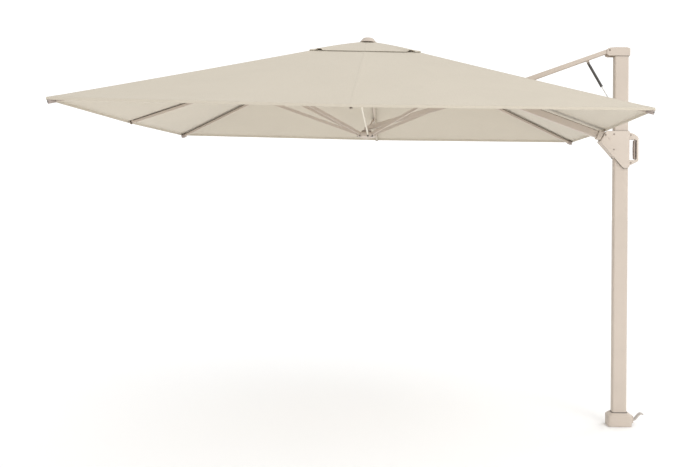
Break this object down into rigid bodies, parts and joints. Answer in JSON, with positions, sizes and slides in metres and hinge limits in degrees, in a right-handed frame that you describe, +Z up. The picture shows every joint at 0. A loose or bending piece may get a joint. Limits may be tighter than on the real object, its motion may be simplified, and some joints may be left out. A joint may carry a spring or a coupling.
{
  "type": "cantilever parasol",
  "caption": "Side-mast garden parasol: a rectangular canopy on a folding boom-and-arm scissor, with a sliding hand carriage, a gas spring and a turning foot.",
  "frame": {"origin": "on the ground, on the mast's axis, at the middle of the turntable base's underside", "axes": "+Z up along the mast, -X towards the canopy, Y across"},
  "size_m": [3.8142, 2.6154, 2.8486],
  "materials": {
    "powder_coat": "satin champagne powder coat with a fine texture",
    "moulded_trim": "satin moulded plastic in the frame's colour",
    "canopy_fabric": "woven solution-dyed canvas, matte",
    "gas_spring": "satin dark paint",
    "bright_steel": "brushed",
    "dark_plastic": "matte"
  },
  "bodies": {
    "base": {"turntable_base": "bright_steel"},
    "mast": {"mast_tube": "powder_coat", "mast_bush": "dark_plastic", "mast_cap": "powder_coat", "foot_casing": "powder_coat", "pedal_bracket": "bright_steel", "gas_mast_bracket": "powder_coat", "arm_pivot_pin": "bright_steel"},
    "pedal": {"foot_pedal": "powder_coat"},
    "brake_shoe": {"brake_shoe": "dark_plastic"},
    "arm": {"arm_front_rail": "powder_coat", "arm_rear_rail": "powder_coat", "scissor_pin": "bright_steel", "runner_pin": "bright_steel", "gas_arm_bracket": "powder_coat"},
    "boom": {"boom_root": "powder_coat", "boom_lower": "powder_coat", "boom_knuckle": "powder_coat", "boom_upper": "powder_coat", "boom_head": "powder_coat", "boom_collar": "moulded_trim", "crown_pin": "bright_steel", "canopy_right_back": "canopy_fabric"},
    "carriage": {"carriage_sleeve": "moulded_trim", "carriage_front_cheek": "moulded_trim", "carriage_rear_cheek": "moulded_trim", "handle_grip": "moulded_trim", "boom_root_pin": "bright_steel"},
    "trigger": {"handle_trigger": "moulded_trim"},
    "lock_bolt": {"lock_bolt": "bright_steel"},
    "gas_cylinder": {"gas_cylinder": "gas_spring"},
    "gas_rod": {"gas_rod": "bright_steel"},
    "crown": {"crown_hub": "powder_coat", "finial": "powder_coat", "pull_rod": "powder_coat", "vent_flap": "canopy_fabric"},
    "runner": {"runner_hub": "powder_coat"},
    "rib_mid_left": {"rib_mid_left": "powder_coat", "canopy_left_front": "canopy_fabric"},
    "strut_mid_left": {"strut_mid_left": "powder_coat"},
    "rib_mid_front": {"rib_mid_front": "powder_coat", "canopy_front_right": "canopy_fabric"},
    "strut_mid_front": {"strut_mid_front": "powder_coat"},
    "rib_mid_back": {"rib_mid_back": "powder_coat", "canopy_back_left": "canopy_fabric"},
    "strut_mid_back": {"strut_mid_back": "powder_coat"},
    "rib_front_left": {"rib_front_left": "powder_coat", "canopy_front_left": "canopy_fabric"},
    "strut_front_left": {"strut_front_left": "powder_coat"},
    "rib_front_right": {"rib_front_right": "powder_coat", "canopy_right_front": "canopy_fabric"},
    "strut_front_right": {"strut_front_right": "powder_coat"},
    "rib_back_left": {"rib_back_left": "powder_coat", "canopy_left_back": "canopy_fabric"},
    "strut_back_left": {"strut_back_left": "powder_coat"},
    "rib_back_right": {"rib_back_right": "powder_coat", "canopy_back_right": "canopy_fabric"},
    "strut_back_right": {"strut_back_right": "powder_coat"}
  },
  "joints": [
    {"name": "mast_turn", "type": "hinge", "parent": "base", "child": "mast", "pos_m": [0, 0, 0], "axis": [0, 0, 1], "continuous": true},
    {"name": "pedal_press", "type": "hinge", "parent": "mast", "child": "pedal", "pos_m": [0.068, 0, 0.048], "axis": [0, 1, 0], "range_deg": [0, 12], "stiffness_Nm_per_rad": 12, "springref_deg": -8.59},
    {"name": "brake_lift", "type": "slide", "parent": "mast", "child": "brake_shoe", "axis": [0, 0, 1], "range_m": [0, 0.003]},
    {"name": "arm_swing", "type": "hinge", "parent": "mast", "child": "arm", "pos_m": [-0.09, 0, 2.765], "axis": [0, -1, 0], "range_deg": [0, 64]},
    {"name": "boom_fold", "type": "hinge", "parent": "arm", "child": "boom", "pos_m": [-0.98205, 0, 2.4412], "axis": [0, 1, 0], "range_deg": [0, 128], "deforming": ["canopy_right_back"]},
    {"name": "carriage_level", "type": "hinge", "parent": "boom", "child": "carriage", "pos_m": [-0.09, 0, 2.1174], "axis": [0, 1, 0], "range_deg": [-64, 0]},
    {"name": "crown_level", "type": "hinge", "parent": "boom", "child": "crown", "pos_m": [-1.8715, 0, 2.7196], "axis": [0, 1, 0], "range_deg": [-64, 0], "deforming": ["vent_flap"]},
    {"name": "runner_level", "type": "hinge", "parent": "arm", "child": "runner", "pos_m": [-1.87741, 0, 2.18243], "axis": [0, 1, 0], "range_deg": [0, 64]},
    {"name": "spring_swing", "type": "hinge", "parent": "arm", "child": "gas_cylinder", "pos_m": [-0.238, 0, 2.669], "axis": [0, 1, 0], "range_deg": [0, 94.74]},
    {"name": "spring_stroke", "type": "slide", "parent": "gas_cylinder", "child": "gas_rod", "axis": [0.5052, 0, -0.863], "range_m": [-0.12467, 0]},
    {"name": "rib_mid_left_hinge", "type": "hinge", "parent": "crown", "child": "rib_mid_left", "pos_m": [-1.96095, 0, 2.77058], "axis": [0, -1, 0], "range_deg": [0, 65.75], "deforming": ["canopy_left_front"]},
    {"name": "strut_mid_left_hinge", "type": "hinge", "parent": "runner", "child": "strut_mid_left", "pos_m": [-1.93791, -0.014, 2.13709], "axis": [0, 1, 0], "range_deg": [0, 64.66]},
    {"name": "rib_mid_front_hinge", "type": "hinge", "parent": "crown", "child": "rib_mid_front", "pos_m": [-1.87095, -0.09, 2.76959], "axis": [0.9999, 0, -0.011], "range_deg": [0, 59.41], "deforming": ["canopy_front_right"]},
    {"name": "strut_mid_front_hinge", "type": "hinge", "parent": "runner", "child": "strut_mid_front", "pos_m": [-1.86391, -0.06, 2.13628], "axis": [-0.9999, 0, 0.011], "range_deg": [0, 70.62]},
    {"name": "rib_mid_back_hinge", "type": "hinge", "parent": "crown", "child": "rib_mid_back", "pos_m": [-1.87095, 0.09, 2.76959], "axis": [-0.9999, 0, 0.011], "range_deg": [0, 59.41], "deforming": ["canopy_back_left"]},
    {"name": "strut_mid_back_hinge", "type": "hinge", "parent": "runner", "child": "strut_mid_back", "pos_m": [-1.89191, 0.06, 2.13659], "axis": [0.9999, 0, -0.011], "range_deg": [0, 70.62]},
    {"name": "rib_front_left_hinge", "type": "hinge", "parent": "crown", "child": "rib_front_left", "pos_m": [-1.94319, -0.05367, 2.77039], "axis": [0.5963, -0.8027, -0.0066], "range_deg": [0, 69.5], "deforming": ["canopy_front_left"]},
    {"name": "strut_front_left_hinge", "type": "hinge", "parent": "runner", "child": "strut_front_left", "pos_m": [-1.91773, -0.04702, 2.13687], "axis": [-0.5963, 0.8027, 0.0066], "range_deg": [0, 61.34]},
    {"name": "rib_front_right_hinge", "type": "hinge", "parent": "crown", "child": "rib_front_right", "pos_m": [-1.79871, -0.05367, 2.7688], "axis": [0.5963, 0.8027, -0.0066], "range_deg": [0, 69.5], "deforming": ["canopy_right_front"]},
    {"name": "strut_front_right_hinge", "type": "hinge", "parent": "runner", "child": "strut_front_right", "pos_m": [-1.8381, -0.04702, 2.136], "axis": [-0.5963, -0.8027, 0.0066], "range_deg": [0, 61.34]},
    {"name": "rib_back_left_hinge", "type": "hinge", "parent": "crown", "child": "rib_back_left", "pos_m": [-1.94319, 0.05367, 2.77039], "axis": [-0.5963, -0.8027, 0.0066], "range_deg": [0, 69.5], "deforming": ["canopy_left_back"]},
    {"name": "strut_back_left_hinge", "type": "hinge", "parent": "runner", "child": "strut_back_left", "pos_m": [-1.91773, 0.04702, 2.13687], "axis": [0.5963, 0.8027, -0.0066], "range_deg": [0, 61.34]},
    {"name": "rib_back_right_hinge", "type": "hinge", "parent": "crown", "child": "rib_back_right", "pos_m": [-1.79871, 0.05367, 2.7688], "axis": [-0.5963, 0.8027, 0.0066], "range_deg": [0, 69.5], "deforming": ["canopy_back_right"]},
    {"name": "strut_back_right_hinge", "type": "hinge", "parent": "runner", "child": "strut_back_right", "pos_m": [-1.8381, 0.04702, 2.136], "axis": [0.5963, -0.8027, -0.0066], "range_deg": [0, 61.34]},
    {"name": "trigger_squeeze", "type": "hinge", "parent": "carriage", "child": "trigger", "pos_m": [0.102, 0, 2.101], "axis": [0, -1, 0], "range_deg": [0, 3.5], "stiffness_Nm_per_rad": 4, "springref_deg": -1.72},
    {"name": "bolt_slide", "type": "slide", "parent": "carriage", "child": "lock_bolt", "axis": [1, 0, 0], "range_m": [0, 0.005]}
  ],
  "couplings": [
    {"joint": "brake_lift", "follows": "pedal_press", "m_per_rad": 0.0135},
    {"joint": "boom_fold", "follows": "arm_swing", "ratio": 2},
    {"joint": "carriage_level", "follows": "arm_swing", "ratio": -1},
    {"joint": "crown_level", "follows": "arm_swing", "ratio": -1},
    {"joint": "runner_level", "follows": "arm_swing", "ratio": 1},
    {"joint": "spring_swing", "follows": "arm_swing", "ratio": 1.4802},
    {"joint": "spring_stroke", "follows": "arm_swing", "m_per_rad": -0.1116},
    {"joint": "rib_mid_left_hinge", "follows": "arm_swing", "ratio": 1.0274},
    {"joint": "strut_mid_left_hinge", "follows": "arm_swing", "ratio": 1.0103},
    {"joint": "rib_mid_front_hinge", "follows": "arm_swing", "ratio": 0.92821},
    {"joint": "strut_mid_front_hinge", "follows": "arm_swing", "ratio": 1.1034},
    {"joint": "rib_mid_back_hinge", "follows": "arm_swing", "ratio": 0.92821},
    {"joint": "strut_mid_back_hinge", "follows": "arm_swing", "ratio": 1.1034},
    {"joint": "rib_front_left_hinge", "follows": "arm_swing", "ratio": 1.0859},
    {"joint": "strut_front_left_hinge", "follows": "arm_swing", "ratio": 0.95836},
    {"joint": "rib_front_right_hinge", "follows": "arm_swing", "ratio": 1.0859},
    {"joint": "strut_front_right_hinge", "follows": "arm_swing", "ratio": 0.95836},
    {"joint": "rib_back_left_hinge", "follows": "arm_swing", "ratio": 1.0859},
    {"joint": "strut_back_left_hinge", "follows": "arm_swing", "ratio": 0.95836},
    {"joint": "rib_back_right_hinge", "follows": "arm_swing", "ratio": 1.0859},
    {"joint": "strut_back_right_hinge", "follows": "arm_swing", "ratio": 0.95836},
    {"joint": "bolt_slide", "follows": "trigger_squeeze", "m_per_rad": 0.08}
  ]
}
